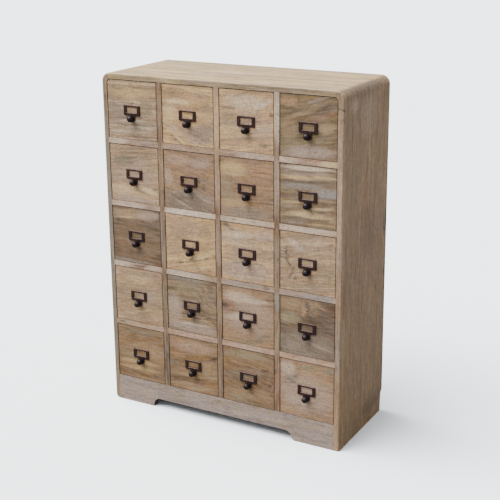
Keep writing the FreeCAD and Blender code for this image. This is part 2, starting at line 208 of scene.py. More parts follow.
def marked_wood(tree, position, cut, marks, face):
    """Colour, roughness and relief sockets of one board, with its own marks on its figure.

    A mark is a soft spot that follows the grain: (across, up, half its width, half its height,
    degrees, stain, strength) in mm on the face that looks along x, y or z. An eighth value is its
    curl, which bends the rings round it, as they bend round a knot.
    """
    ragged = position
    upright = abs(cut["turn"][1]) > QUARTER / 2
    for along, across, far, aside in RAGGED:
        squeeze, push = ((across, across, along), (aside, aside, far)) if upright else (
            (along, across, across), (far, aside, aside))
        noise = add(tree, "TexNoise", {}, {
            "Vector": add(tree, "VectorMath", {"operation": "DIVIDE"},
                          {0: position, 1: tuple(c / MM for c in squeeze)}),
            "Scale": 1.0, "Detail": 2.0})
        shift = add(tree, "VectorMath", {"operation": "SUBTRACT"},
                    {0: noise.outputs["Color"], 1: (0.5, 0.5, 0.5)})
        ragged = add(tree, "VectorMath", {"operation": "MULTIPLY_ADD"},
                     {0: shift, 1: push, 2: ragged})
    swirl = 0.0
    spots = []
    axes = {"x": (1, 2, 0), "y": (0, 2, 1), "z": (0, 1, 2)}[face]
    for across, up, half_across, half_up, slant, stain, strength, *curl in marks:
        place, size, turn = Vector((0, 0, 0)), Vector((0, 0, 0)), [0.0, 0.0, 0.0]
        place[axes[0]], place[axes[1]], place[axes[2]] = across, up, cut["face_at"]
        size[axes[0]], size[axes[1]], size[axes[2]] = half_across, half_up, STAIN_DEPTH
        turn[axes[2]] = math.radians(-slant if face == "y" else slant)
        local = add(tree, "Mapping", {"vector_type": "TEXTURE"},
                    {"Vector": ragged, "Location": place / MM, "Rotation": turn,
                     "Scale": size / MM})
        spot = add(tree, "TexGradient", {"gradient_type": "SPHERICAL"},
                   {"Vector": local}).outputs["Fac"]
        if curl:
            swirl = add(tree, "Math", {"operation": "MULTIPLY_ADD"},
                        {0: spot, 1: curl[0], 2: swirl})
        spots.append((spot, stain, strength))
    pale, mid, dark = [linear(tone) for tone in cut["tones"]]
    board = add(tree, "Group", {"node_tree": figure}, {
        "Point": grain_point(tree, position, cut["turn"], cut["heart"]), "Swirl": swirl,
        "Pale": pale, "Mid": mid, "Dark": dark,
        **{name.capitalize(): cut[name]
           for name in ("seed", "wave", "band", "contrast", "drift", "straight")}})
    colour = board.outputs["Ground"]
    # Dark threads take up a stain more than pale ones
    soak = add(tree, "MapRange", {}, {"Value": board.outputs["Thread"], **SPREAD,
                                      "To Min": 1.5, "To Max": 0.55})
    for spot, stain, strength in spots:
        broken = add(tree, "Math", {"operation": "MULTIPLY"}, {0: spot, 1: soak})
        soaked = add(tree, "MapRange", {"interpolation_type": "SMOOTHSTEP"},
                     {"Value": broken, "From Min": 0.0, "From Max": 0.65, "To Max": strength})
        colour = add(tree, "Mix", {"data_type": "RGBA"},
                     {0: soaked, 6: colour, 7: linear(STAIN_AND_SHADE[stain])})
    threaded = add(tree, "VectorMath", {"operation": "SCALE"},
                   {0: colour, "Scale": board.outputs["Grain"]})
    pitted = add(tree, "Mix", {"data_type": "RGBA"},
                 {0: board.outputs["Pit"], 6: threaded, 7: linear(PORE)})
    limed = add(tree, "Math", {"operation": "MULTIPLY"},
                {0: board.outputs["White"], 1: cut["lime"]})
    washed = add(tree, "Mix", {"data_type": "RGBA"}, {0: limed, 6: pitted, 7: linear(LIME)})
    rough = add(tree, "MapRange", {}, {"Value": board.outputs["Thread"], **SPREAD,
                                       "To Min": 0.68, "To Max": 0.54})
    relief = add(tree, "Math", {"operation": "MULTIPLY_ADD"},
                 {0: board.outputs["Pit"], 1: -1.0, 2: board.outputs["Thread"]})
    return washed.outputs[2], rough.outputs[0], relief.outputs[0]


# Painted shade in the gaps round the drawers fades in between these depths
GAP_SHADE_FRONT, GAP_SHADE_BACK = -0.112, -0.092  # y from where to where a gap's dark fades, in metres
INSIDE_X, INSIDE_Z = 0.2875, 0.7875  # half a millimetre into the case's boards, in metres


def matt_board(tree, colour, rough, relief):
    """Sanded, unvarnished wood: IOR 1.5, rough, with open pores 0.3 mm deep.

    Faces inside the case that look across a drawer's gap are darkened, mostly as painted
    shade of the deep gap and a little as dust, from the front of the case to 20 mm in.
    """
    split = add(tree, "SeparateXYZ", {}, {0: add(tree, "TexCoord", {}, {}).outputs["Object"]})
    facing = add(tree, "SeparateXYZ", {}, {0: add(tree, "NewGeometry", {}, {}).outputs["Normal"]})
    dark = add(tree, "MapRange", {"interpolation_type": "SMOOTHSTEP"},
               {"Value": split.outputs["Y"], "From Min": GAP_SHADE_FRONT, "From Max": GAP_SHADE_BACK,
                "To Min": 0.8, "To Max": 0.0})
    forward, aside = [add(tree, "Math", {"operation": "ABSOLUTE"}, {0: value})
                      for value in (facing.outputs["Y"], split.outputs["X"])]
    for value, limit in ((forward, 0.5), (aside, INSIDE_X), (split.outputs["Z"], INSIDE_Z)):
        inside = add(tree, "Math", {"operation": "LESS_THAN"}, {0: value, 1: limit})
        dark = add(tree, "Math", {"operation": "MULTIPLY"}, {0: dark, 1: inside})
    # The painted shade of the gaps is mixed in here, towards ink
    colour = add(tree, "Mix", {"data_type": "RGBA"},
                 {0: dark, 6: colour, 7: linear(STAIN_AND_SHADE["ink"])})
    bump = add(tree, "Bump", {}, {"Strength": 0.35, "Distance": 0.0003, "Height": relief})
    shader = add(tree, "BsdfPrincipled", {}, {"Base Color": colour, "Roughness": rough,
                                              "Specular IOR Level": 0.35, "Normal": bump})
    add(tree, "OutputMaterial", {}, {"Surface": shader})


def empty_material(name):
    """A material with no nodes yet."""
    material = bpy.data.materials.new(name)
    material.use_nodes = True
    material.node_tree.nodes.clear()
    return material


def mango(name, cut, marks=(), face="y"):
    """Limed mango for one board."""
    material = empty_material(name)
    tree = material.node_tree
    position = add(tree, "TexCoord", {}, {}).outputs["Object"]
    matt_board(tree, *marked_wood(tree, position, cut, marks, face))
    return material


def dress(node, material):
    """Gives a node of the frame its material."""
    for slot in nodes[node].material_slots:
        slot.material = material


# Along y, up, half its width, half its height, degrees, stain, strength, curl
SIDE_MARKS = {
    "right": (
        (-115, 560, 9, 300, 0, "pinkgrey", 0.45), (-115, 240, 8, 90, 0, "grey", 0.65),
        # These two darken the top of the side and the round above it as painted shade, the round
        # being turned from the light
        (0, 799, 160, 17, 0, "umber", 0.8), (0, 788, 150, 22, 0, "brown", 0.4),
        (-60, 762, 26, 22, 14, "white", 0.4), (-40, 735, 16, 26, 20, "brown", 0.45),
        (10, 730, 60, 60, 0, "white", 0.25), (95, 755, 16, 26, 0, "rust", 0.45),
        (-70, 600, 30, 130, 0, "moss", 0.3), (-46, 590, 4, 110, 2, "umber", 0.45),
        (-40, 440, 4, 110, -2, "umber", 0.6), (30, 470, 50, 90, 0, "brown", 0.5),
        (50, 500, 12, 40, 0, "rust", 0.45), (-85, 330, 34, 70, 0, "rust", 0.25),
        (0, 250, 90, 90, 0, "gold", 0.3), (110, 260, 30, 200, 0, "moss", 0.35),
        (-90, 70, 44, 80, 0, "gold", 0.75), (-60, 30, 50, 26, 0, "moss", 0.4),
        (60, 45, 70, 34, 0, "umber", 0.4), (-8, 28, 14, 10, 0, "rust", 0.5),
        (120, 470, 20, 46, 0, "umber", 0.6), (118, 455, 13, 5, -24, "ink", 0.95, 6.0),
        (116, 490, 10, 18, 0, "moss", 0.8), (124, 350, 6, 16, 0, "ink", 0.8, 6.0),
        (124, 312, 5, 7, 0, "umber", 0.7), (-113, 762, 4, 4, 0, "ink", 0.9),
        (-113, 738, 4, 3, 0, "ink", 0.7)),
    "left": (
        (-115, 400, 12, 460, 0, "grey", 1.0), (-115, 240, 8, 110, 0, "brown", 0.45),
        (-115, 740, 9, 60, 0, "brown", 0.4), (-90, 600, 20, 160, 0, "moss", 0.4),
        (30, 380, 5, 120, 3, "umber", 0.4), (90, 180, 9, 80, -4, "brown", 0.5),
        (-113, 745, 5, 12, 0, "umber", 0.6), (60, 660, 9, 22, 0, "rust", 0.55, 24.0),
        (0, 520, 60, 120, 0, "olive", 0.35))}
# Across, along y, then as above
TOP_MARKS = (
    (-165, 80, 95, 18, 0, "olive", 0.5), (40, 121, 320, 13, 0, "olive", 0.65),
    (-200, 46, 95, 12, 0, "ash", 0.3), (-40, 8, 110, 26, 0, "ash", 0.22),
    (-215, -78, 55, 20, 4, "gold", 0.8), (50, 72, 80, 12, 0, "gold", 0.35),
    (180, 25, 90, 9, -2, "rust", 0.3), (190, -22, 100, 14, 0, "straw", 0.3),
    (215, -72, 70, 13, 0, "grey", 0.45), (60, -50, 60, 8, 2, "gold", 0.4),
    (-90, -28, 90, 16, 0, "grey", 0.25), (120, 95, 60, 10, 0, "grey", 0.4),
    (-120, -50, 90, 6, 2, "rust", 0.2), (-255, 100, 40, 14, 4, "grey", 0.4),
    (298, 5, 15, 170, 0, "umber", 0.65), (-298, 5, 10, 170, 0, "brown", 0.5),
    (0, -117, 340, 11, 0, "brown", 0.5), (-110, -117, 80, 6, 0, "straw", 0.45),
    (-230, -117, 50, 6, 0, "gold", 0.7), (170, -117, 210, 9, 0, "brown", 0.75))
# The left side is a greyer board than the right one
SIDE_TONES = {"right": ("#a17f5a", "#8a6c4e", "#74593f"),
              "left": ("#988262", "#80684c", "#6a543c")}
TOP_WOOD = wood(("#a08855", "#826a45", "#695335"), (0.0, 0.0, 0.0), (0.0, 60.0, HEIGHT + 90.0),
                8.0, face_at=HEIGHT, wave=24.0, lime=0.45, straight=1.8)
JOINT_WANDER = 0.010  # metres that the joint wanders by
JOINT_TOP = 1.2  # its highest place above the mitre, in wanders
JOINT_HALF = 0.007  # metres from the joint to where its stain ends


def case_material(side):
    """The case: side wood below the mitre, top wood above it, and a brown joint between.

    Past is how far a point is above the mitre, which falls inwards from the corner at 45 degrees.
    """
    sign, seed = {"right": (1.0, 2.0), "left": (-1.0, 5.0)}[side]
    material = empty_material("limed mango, %s of case" % side)
    tree = material.node_tree
    position = add(tree, "TexCoord", {}, {}).outputs["Object"]
    side_wood = marked_wood(tree, position, wood(
        SIDE_TONES[side], (0.0, QUARTER + math.radians(2.0), 0.0), (sign * 340.0, -30.0, 0.0),
        seed, face_at=sign * HALF_WIDTH, wave=14.0, band=12.0, contrast=0.9, drift=0.3,
        straight=3.0), SIDE_MARKS[side], "x")
    top_wood = marked_wood(tree, position, TOP_WOOD, TOP_MARKS, "z")
    split = add(tree, "SeparateXYZ", {}, {0: position})
    out = add(tree, "Math", {"operation": "MULTIPLY_ADD"},
              {0: split.outputs["X"], 1: sign, 2: -HALF_WIDTH / MM})
    over = add(tree, "Math", {"operation": "SUBTRACT"}, {0: split.outputs["Z"], 1: HEIGHT / MM})
    past = add(tree, "Math", {"operation": "SUBTRACT"}, {0: over, 1: out})
    noise = add(tree, "TexNoise", {}, {"Vector": position, "Scale": 60.0, "Detail": 3.0})
    wander = add(tree, "Math", {"operation": "SUBTRACT"}, {0: noise, 1: JOINT_TOP})
    past = add(tree, "Math", {"operation": "MULTIPLY_ADD"}, {0: wander, 1: JOINT_WANDER, 2: past})
    above = add(tree, "MapRange", {}, {"Value": past, "From Min": -0.0012, "From Max": 0.0012})
    apart = add(tree, "Math", {"operation": "ABSOLUTE"}, {0: past})
    joint = add(tree, "MapRange", {"interpolation_type": "SMOOTHSTEP"},
                {"Value": apart, "From Min": 0.0, "From Max": JOINT_HALF, "To Min": 0.55,
                 "To Max": 0.0})
    colour = add(tree, "Mix", {"data_type": "RGBA"}, {0: above, 6: side_wood[0], 7: top_wood[0]})
    colour = add(tree, "Mix", {"data_type": "RGBA"},
                 {0: joint, 6: colour, 7: linear(STAIN_AND_SHADE["brown"])})
    rough, relief = [add(tree, "Mix", {}, {0: above, 2: below, 3: beyond})
                     for below, beyond in zip(side_wood[1:], top_wood[1:])]
    matt_board(tree, colour, rough, relief)
    return material


right_case = case_material("right")
left_case = case_material("left")
dress("side_panel_right", right_case)
dress("side_panel_left", left_case)

# --- Corner blocks and top board --------------------------------------------------------------
# The top is one wide board, its grain across the cabinet, and it meets the sides in the rounded
# corner blocks that are glued between them. It is limed more heavily than the sides.
dress("corner_block_right", right_case)
dress("corner_block_left", left_case)
dress("top_board", mango("limed mango, top", TOP_WOOD, TOP_MARKS, "z"))

# --- Bottom shelf, plinth and glue blocks -----------------------------------------------------
# The plinth is a cooler, plainer board with its arch sawn out. It covers the front edge of the
# bottom shelf, between the sides, and has a glue block behind each of its feet.
PLINTH_TONES = ("#978579", "#827169", "#6d5e58")
FRONT = -113.95  # y of the case's front edges, in mm
under_wood = wood(PLINTH_TONES, (0.0, 0.0, 0.0), (0.0, 40.0, -150.0), 16.0, face_at=FRONT,
                  wave=10.0, band=5.0, contrast=1.0, lime=0.35)
plinth_marks = (
    (-290, 30, 6, 40, 0, "pink", 0.35), (-140, 44, 120, 5, -1, "grey", 0.4),
    (60, 36, 150, 5, 1, "white", 0.25), (180, 50, 90, 5, 0, "grey", 0.45),
    (286, 30, 2, 45, 0, "umber", 0.45), (230, 20, 60, 6, 2, "moss", 0.25))
for name in ("plinth_board", "bottom_shelf", "glue_block_left", "glue_block_right"):
    dress(name, mango("limed mango, " + name.replace("_", " "), under_wood, plinth_marks))

# --- Back panel -------------------------------------------------------------------------------
# A thin mango-faced board in a rebate of the case. It stands to the wall, so it has hardly any
# lime, and its bands run straight up.
dress("back_panel", mango("plain mango, back", wood(
    ("#a48c6c", "#8a7152", "#715b42"), (0.0, QUARTER, 0.0), (60.0, 420.0, 0.0), 20.0,
    lime=0.1)))

# --- Dividers ---------------------------------------------------------------------------------
# Three upright boards of limed mango run from the bottom shelf to the top, their front edges
# flush with the case. Each edge changes colour down its height, and two have small knots.
DIVIDER_TONES = ("#70533a", "#61452e", "#4d3724")
DIVIDER_X = (-146.75, 0.0, 146.75)  # their middles, in mm
# From the divider's middle, up, then as on the sides
divider_marks = (
    ((0, 740, 20, 60, 0, "tan", 0.35), (0, 585, 20, 70, 0, "tan", 0.6),
     (0, 430, 20, 70, 0, "brown", 0.85), (0, 270, 20, 70, 0, "olive", 0.75),
     (0, 130, 20, 86, 0, "umber", 0.85), (3.75, 176, 5, 11, 0, "ink", 0.5)),
    ((0, 720, 20, 100, 0, "pink", 1.0), (0, 700, 20, 110, 0, "butter", 0.45),
     (0, 570, 20, 70, 0, "pink", 0.7), (0, 430, 20, 60, 0, "pinkgrey", 0.35),
     (0, 290, 20, 60, 0, "tan", 0.35), (0, 120, 20, 80, 0, "brown", 0.65)),
    ((0, 740, 20, 90, 0, "white", 0.7), (0, 590, 20, 90, 0, "pinkgrey", 0.6),
     (3.25, 600, 3, 60, 0, "pink", 0.5), (0, 430, 20, 60, 0, "pinkgrey", 0.35),
     (0, 325, 20, 30, 0, "grey", 0.9), (0, 252, 20, 66, 0, "gold", 1.0),
     (0, 250, 20, 60, 0, "brown", 0.6), (0, 130, 20, 70, 0, "rust", 1.0),
     (-2.75, 158, 6, 9, 0, "ink", 0.9, 4.0), (2.25, 425, 4, 8, 0, "umber", 0.7)))
for index, (middle, its_marks) in enumerate(zip(DIVIDER_X, divider_marks), 1):
    marks = [(middle + across, *rest) for across, *rest in its_marks]
    dress("divider_%d" % index, mango("limed mango, divider %d" % index, wood(
        DIVIDER_TONES, (0.0, QUARTER, 0.0), (30.0 * index, 90.0, 0.0), 30.0 + index,
        face_at=FRONT, wave=14.0, band=9.0, contrast=1.5, lime=0.35), marks))

# --- Shelves ----------------------------------------------------------------------------------
# Four rows of short shelves of limed mango are housed between the uprights. Their front edges
# differ from one piece to the next, most of them paler than the uprights.
SHELF_TONES = ("#a07d69", "#8b6a55", "#6e5244")
MARK_SLANT = 2  # degrees
# From the top shelf down: across, half its width, half its height, stain, strength
shelf_marks = (
    ((-275, 50, 14, "white", 0.8), (-190, 50, 10, "grey", 0.4), (-110, 40, 10, "pinkgrey", 0.4),
     (-45, 44, 12, "tan", 0.75), (90, 60, 14, "ash", 0.4), (170, 40, 14, "white", 0.6),
     (268, 30, 10, "straw", 0.7)),
    ((-240, 70, 14, "ash", 0.5), (-172, 26, 12, "tan", 0.5), (-75, 110, 16, "ash", 0.85),
     (75, 100, 14, "white", 0.7), (40, 8, 3, "umber", 0.6), (92, 9, 3, "umber", 0.6),
     (215, 100, 14, "white", 0.7)),
    ((-265, 40, 14, "ash", 0.5), (-214, 20, 6, "umber", 0.6), (-175, 30, 12, "white", 0.5),
     (-90, 80, 14, "ash", 0.55), (-30, 26, 10, "tan", 0.4), (60, 80, 14, "slate", 0.5),
     (122, 14, 6, "umber", 0.95), (175, 40, 12, "slate", 0.3), (250, 60, 14, "slate", 0.75)),
    ((-262, 50, 12, "tan", 0.7), (-268, 15, 4, "ink", 0.8), (-210, 50, 12, "butter", 0.3),
     (-75, 100, 14, "pink", 0.6), (-22, 20, 6, "rust", 0.6), (75, 90, 12, "pink", 0.8),
     (212, 80, 12, "pink", 0.6)))
for row, its_marks in enumerate(shelf_marks, 1):
    low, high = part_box("shelf_row_%d" % row)
    height = (low.z + high.z) / 2 * MM
    marks = [(across, height, half_across, half_up, MARK_SLANT, stain, strength)
             for across, half_across, half_up, stain, strength in its_marks]
    dress("shelf_row_%d" % row, mango("limed mango, shelves %d" % row, wood(
        SHELF_TONES, (0.0, 0.0, 0.0), (0.0, 60.0, height - 70.0), 40.0 + row, face_at=FRONT,
        wave=16.0, band=7.0, lime=0.45), marks))

# --- Drawers ----------------------------------------------------------------------------------
# Twenty drawers, each with a front of its own cut of mango, the grain across it, rebated for thin
# sides. No two fronts match: bands, stains, knots and cracks are set out for each of them. The
# box behind is the same cut, its sides grained from front to back.
WOODS = {  # pale, mid and dark tones of each cut
    "blond": ("#cba674", "#a58058", "#816549"), "fair": ("#ae9372", "#907255", "#715a45"),
    "rose": ("#987550", "#806044", "#654b36"), "grey": ("#866a49", "#69523a", "#514030"),
    "olive": ("#745a36", "#5a4629", "#423521"), "honey": ("#836139", "#6c4e2d", "#513c26"),
    "brown": ("#64482d", "#503a25", "#3e2f1f")}
# y between which the grain runs from front to back, in metres: all of the sides but their ends
SIDES_FROM, SIDES_TO = -0.094, 0.112
FACE_Y, HEART_BEHIND = -113.55, 90.0  # y of the fronts' faces, and from them to the heart, in mm
MIDDLE = 66.0  # mm from a front's lower left corner to its middle
# A front's edges are darkened as painted shade of the gaps round it
RIM = 0.0022  # metres of a front's edge that are darkened
# Cut, slope of the grain in degrees, the heart from the front's middle, band, wave, contrast,
# then the marks from its lower left corner
DRAWERS = {
    "r1c1": ("fair", 1, 0, -190, 8, 14, 1.6, (
        (66, 106, 80, 20, 0, "butter", .6), (80, 118, 52, 3.2, -3, "umber", .5),
        (26, 113, 30, 3.2, 2, "umber", .4), (66, 36, 84, 34, 0, "grey", .5),
        (22, 68, 34, 24, 0, "grey", .6), (106, 72, 24, 26, 0, "moss", .9),
        (60, 50, 60, 3.4, 1, "umber", .45), (60, 42, 56, 4, 0, "white", .6),
        (100, 29, 32, 5, -2, "white", .5), (34, 17, 36, 4, 3, "white", .5),
        (66, 33, 66, 3, 0, "umber", .6), (80, 8, 60, 4, -2, "brown", .7),
        (66, 82, 5, 4, 0, "ink", .6))),
    "r1c2": ("blond", -3, 30, 200, 16, 16, 1.3, (
        (36, 118, 44, 15, 2, "gold", .8), (100, 116, 44, 14, 4, "moss", .3),
        (40, 96, 46, 6, 1, "cream", .9), (18, 74, 26, 34, 0, "cream", .45),
        (110, 84, 26, 24, 8, "moss", .5), (96, 28, 54, 30, 4, "pinkgrey", .7),
        (106, 28, 36, 30, 0, "brown", .6), (26, 36, 36, 8, -30, "white", .4),
        (24, 26, 34, 3.4, -34, "cream", .5), (40, 14, 30, 3.4, -30, "white", .4),
        (34, 10, 32, 3.4, -32, "brown", .7), (16, 40, 24, 3.4, -30, "brown", .45))),
    "r1c3": ("blond", 10, 60, 170, 12, 26, 1.3, (
        (66, 60, 96, 66, 0, "pinkgrey", .3), (66, 108, 70, 22, -4, "white", .55),
        (108, 104, 36, 7, 28, "white", .8), (96, 88, 44, 4, 26, "tan", .7),
        (22, 92, 30, 3.6, -4, "brown", .7), (26, 66, 28, 24, 0, "moss", .5),
        (30, 34, 40, 20, 0, "butter", .35), (110, 18, 24, 6, 6, "olive", .75),
        (40, 13, 50, 5, 2, "tan", .6), (127, 84, 9, 8, 0, "rust", 1),
        (104, 50, 34, 10, 14, "pinkgrey", .5), (50, 122, 30, 3.4, 18, "brown", .5))),
    "r1c4": ("olive", 12, 40, 150, 9, 30, 1.6, (
        (22, 119, 30, 15, 0, "orange", .85), (46, 118, 4, 14, 20, "umber", .9),
        (28, 104, 24, 3.4, 12, "umber", .8), (66, 110, 44, 18, 0, "tan", .45),
        (74, 116, 36, 3.4, 24, "umber", .6), (84, 124, 30, 4, 16, "pinkgrey", .5),
        (44, 90, 32, 6, 14, "tan", .6), (100, 106, 40, 4, 20, "umber", .7),
        (106, 112, 36, 18, 20, "bark", .35), (104, 96, 38, 5, 18, "rust", .95),
        (96, 88, 26, 4, 14, "rust", .9), (20, 58, 30, 34, 0, "tan", .6),
        (108, 68, 30, 16, 10, "tan", .95), (110, 46, 30, 8, 26, "brown", .6),
        (66, 14, 90, 18, 3, "pinkgrey", .85), (20, 80, 24, 4, 4, "rust", .5),
        (60, 34, 70, 8, 6, "moss", .5))),
    "r2c1": ("fair", 7, 20, -170, 10, 16, 1.3, (
        (66, 70, 90, 50, 0, "pinkgrey", .3), (66, 125, 76, 3, 6, "brown", .75),
        (70, 115, 66, 3, 7, "umber", .5), (40, 97, 44, 17, 4, "olive", .9),
        (66, 104, 60, 3, 6, "umber", .35), (104, 112, 40, 16, 8, "olive", .35),
        (28, 28, 40, 18, -2, "cream", .5), (80, 24, 56, 18, -4, "cream", .5),
        (104, 32, 38, 8, -16, "cream", .8), (96, 23, 42, 4, -14, "brown", .5),
        (66, 7, 84, 7, 0, "pinkgrey", .8))),
    "r2c2": ("rose", -10, 60, 160, 9, 16, 1.3, (
        (36, 112, 50, 16, -3, "pink", .7), (96, 110, 40, 16, 6, "pinkgrey", .7),
        (66, 22, 96, 36, 0, "grey", .9), (60, 16, 96, 28, -6, "brown", .7),
        (98, 64, 20, 30, 0, "brown", .5), (91, 70, 3.6, 10, 0, "ink", .7),
        (104, 56, 3.4, 12, 0, "ink", .7), (112, 74, 3, 9, 0, "umber", .7),
        (36, 26, 40, 3, -26, "umber", .7), (52, 12, 36, 3, -24, "pinkgrey", .6),
        (12, 72, 16, 30, 0, "pinkgrey", .6), (110, 26, 26, 4, -12, "pinkgrey", .5))),
    "r2c3": ("rose", 2, -20, 200, 16, 16, 1.3, (
        (30, 108, 50, 24, 0, "butter", .7), (100, 108, 50, 20, 0, "orange", .8),
        (100, 104, 42, 3.6, 2, "rust", .8), (84, 95, 38, 3, -2, "rust", .6),
        (18, 66, 28, 46, 0, "moss", .6), (110, 66, 26, 26, 0, "orange", .5),
        (112, 52, 26, 26, 0, "olive", .3), (103, 56, 3.6, 7, 0, "rust", .9),
        (66, 12, 90, 20, 0, "grey", .6), (40, 34, 56, 12, 0, "butter", .4),
        (60, 121, 60, 3, 2, "rust", .4))),
    "r2c4": ("grey", 3, 30, -80, 7, 22, 1.7, (
        (60, 112, 80, 20, 0, "pinkgrey", .4), (66, 127, 84, 7, 0, "white", .9),
        (50, 119, 60, 3, 2, "umber", .7), (40, 105, 50, 7, -2, "butter", .85),
        (106, 110, 40, 5, 3, "butter", .7), (66, 97, 66, 3.4, 3, "umber", .85),
        (46, 88, 70, 8, 2, "slate", .6), (108, 77, 46, 14, 2, "slate", .8),
        (20, 76, 30, 8, 0, "moss", .7), (34, 62, 46, 3.2, 2, "umber", .8),
        (30, 52, 42, 4, 2, "butter", .5), (30, 42, 42, 5, 3, "moss", .7),
        (100, 52, 44, 4, 6, "umber", .8), (98, 43, 44, 4, 6, "cream", .5),
        (84, 34, 44, 3.4, 8, "umber", .8), (100, 26, 42, 4, 5, "butter", .5),
        (60, 26, 56, 12, 3, "cream", .6), (40, 17, 52, 4.5, 3, "umber", .9),
        (92, 17, 36, 3.4, 4, "umber", .7), (100, 8, 50, 4, 3, "butter", .5),
        (30, 6, 36, 4, 3, "slate", .5))),
    "r3c1": ("brown", -4, 40, 220, 20, 14, 0.7, (
        (70, 56, 96, 56, 0, "gold", .25), (50, 118, 84, 18, 2, "tan", .95),
        (100, 118, 44, 16, 6, "pinkgrey", .8), (34, 108, 50, 3.4, 6, "cream", .35),
        (84, 92, 64, 6, -12, "bark", .35), (20, 40, 14, 34, 24, "rust", .35),
        (112, 56, 30, 34, 0, "bark", .2), (50, 3, 80, 7, 0, "grey", .8))),
    "r3c2": ("blond", 14, 20, -120, 8, 14, 1.4, (
        (46, 104, 66, 30, 2, "pinkgrey", .3), (40, 106, 56, 34, 0, "rust", .25),
        (106, 104, 26, 22, 0, "tan", .6), (110, 90, 28, 44, 0, "brown", .2),
        (96, 60, 30, 20, 0, "moss", .35), (100, 47, 42, 5, 15, "butter", .8),
        (80, 36, 62, 5, 14, "cream", .7), (104, 28, 38, 4, 14, "butter", .7),
        (96, 17, 46, 4, 14, "cream", .7), (60, 26, 62, 3.2, 14, "brown", .4),
        (66, 32, 8, 3.4, 14, "ink", .8), (40, 20, 9, 3.4, 14, "umber", .9),
        (104, 38, 9, 3.4, 12, "ink", .7), (84, 14, 8, 3, 14, "umber", .7),
        (24, 62, 44, 50, 0, "tan", .65), (100, 8, 40, 3.4, 12, "brown", .5))),
    "r3c3": ("blond", 3, 30, 210, 12, 14, 0.9, (
        (66, 74, 96, 60, 0, "pinkgrey", .4), (70, 56, 96, 66, 0, "tan", .4),
        (30, 104, 40, 26, 0, "white", .35), (24, 30, 40, 30, 0, "brown", .2),
        (12, 126, 15, 8, 0, "umber", .85), (24, 118, 16, 5, -10, "grey", .9),
        (50, 108, 50, 10, 3, "white", .5), (108, 112, 34, 16, 0, "pinkgrey", .8),
        (30, 78, 34, 9, 4, "tan", .5), (66, 26, 90, 32, 0, "pinkgrey", .7),
        (60, 44, 62, 3.4, 4, "brown", .5), (106, 68, 30, 12, 6, "moss", .5),
        (60, 14, 70, 3.4, 1, "white", .4))),
    "r3c4": ("fair", 9, -40, 170, 12, 30, 1.1, (
        (70, 104, 80, 26, 0, "pinkgrey", .35), (18, 74, 7, 30, 12, "brown", 1),
        (27, 42, 6, 26, -24, "brown", .95), (15, 88, 4, 9, 0, "ink", .8),
        (22, 60, 4, 9, 0, "ink", .8), (34, 30, 5, 7, 0, "ink", .7),
        (34, 106, 28, 10, -30, "white", .5), (120, 114, 13, 4.5, 10, "rust", .85),
        (66, 14, 84, 14, 6, "grey", .3), (110, 50, 26, 30, 8, "moss", .6),
        (84, 92, 44, 4, 16, "butter", .5), (60, 122, 54, 3.4, 14, "brown", .4))),
    "r4c1": ("fair", 4, 10, -260, 18, 12, 0.8, (
        (66, 72, 90, 50, 0, "moss", .25), (66, 110, 50, 20, 0, "cream", .35),
        (60, 26, 62, 5, 14, "cream", .4), (20, 104, 22, 6, 0, "orange", .3),
        (90, 66, 44, 22, 0, "pinkgrey", .35), (20, 66, 24, 40, 0, "brown", .22),
        (70, 120, 70, 8, 2, "moss", .5), (66, 8, 76, 6, 2, "gold", .35),
        (112, 66, 30, 40, 0, "brown", .2), (104, 34, 34, 3.4, 12, "brown", .4))),
    "r4c2": ("grey", 3, 20, -180, 7, 16, 3.4, (
        (54, 104, 56, 24, 0, "moss", .6), (60, 116, 60, 14, 0, "olive", .4),
        (130, 84, 52, 46, 0, "brown", .3, 46), (132, 84, 9, 12, 0, "umber", 1),
        (16, 56, 30, 44, 0, "pinkgrey", .8), (14, 36, 24, 34, 0, "tan", .4),
        (66, 13, 90, 18, 0, "pinkgrey", .8), (70, 22, 62, 3.2, 0, "white", .6),
        (108, 46, 32, 4, -30, "umber", .6), (98, 62, 32, 3.2, -34, "umber", .6),
        (106, 34, 30, 3.4, -24, "white", .2), (52, 128, 70, 6, 0, "grey", .8),
        (90, 30, 30, 7, -10, "moss", .5))),
    "r4c3": ("rose", 6, 30, 150, 12, 20, 1.2, (
        (66, 66, 96, 66, 0, "pinkgrey", .4), (14, 80, 34, 30, 0, "brown", .4),
        (12, 84, 28, 22, 0, "rust", 1, 20), (9, 85, 14, 9, -20, "bark", 1),
        (40, 62, 44, 12, 8, "white", .5), (106, 24, 38, 7, 24, "olive", .75),
        (80, 10, 52, 5, 10, "olive", .6), (40, 110, 50, 22, 0, "white", .5),
        (50, 122, 34, 4, 3, "gold", .9), (86, 106, 50, 8, 4, "white", .5),
        (96, 90, 38, 12, 0, "pink", .4), (40, 77, 36, 3, 4, "brown", .6))),
    "r4c4": ("brown", -6, 40, 190, 10, 24, 1.3, (
        (50, 116, 80, 24, 0, "gold", 1), (60, 112, 60, 24, 0, "bark", .25),
        (112, 108, 40, 40, 0, "bark", .45), (66, 114, 9, 22, 8, "umber", .95),
        (78, 104, 6, 18, -8, "umber", .9), (57, 104, 8, 17, 0, "orange", .8),
        (100, 114, 42, 5, -36, "umber", .9), (110, 98, 34, 5, -40, "umber", .9),
        (94, 120, 20, 5, -30, "orange", .7), (112, 76, 26, 26, 0, "umber", .4),
        (110, 66, 4, 18, 0, "ink", .6), (103, 74, 3, 12, 0, "umber", .7),
        (22, 84, 36, 20, 0, "moss", 1), (66, 22, 100, 50, 0, "grey", .8),
        (80, 24, 90, 40, -6, "brown", .5), (50, 48, 50, 4, -8, "umber", .6),
        (90, 30, 52, 4, -14, "pinkgrey", .6), (100, 14, 44, 4, -10, "brown", .6))),
    "r5c1": ("honey", 0, 30, -230, 5, 10, 1.2, (
        (66, 122, 88, 9, 0, "olive", .7), (66, 115, 84, 2.8, 1, "bark", .45),
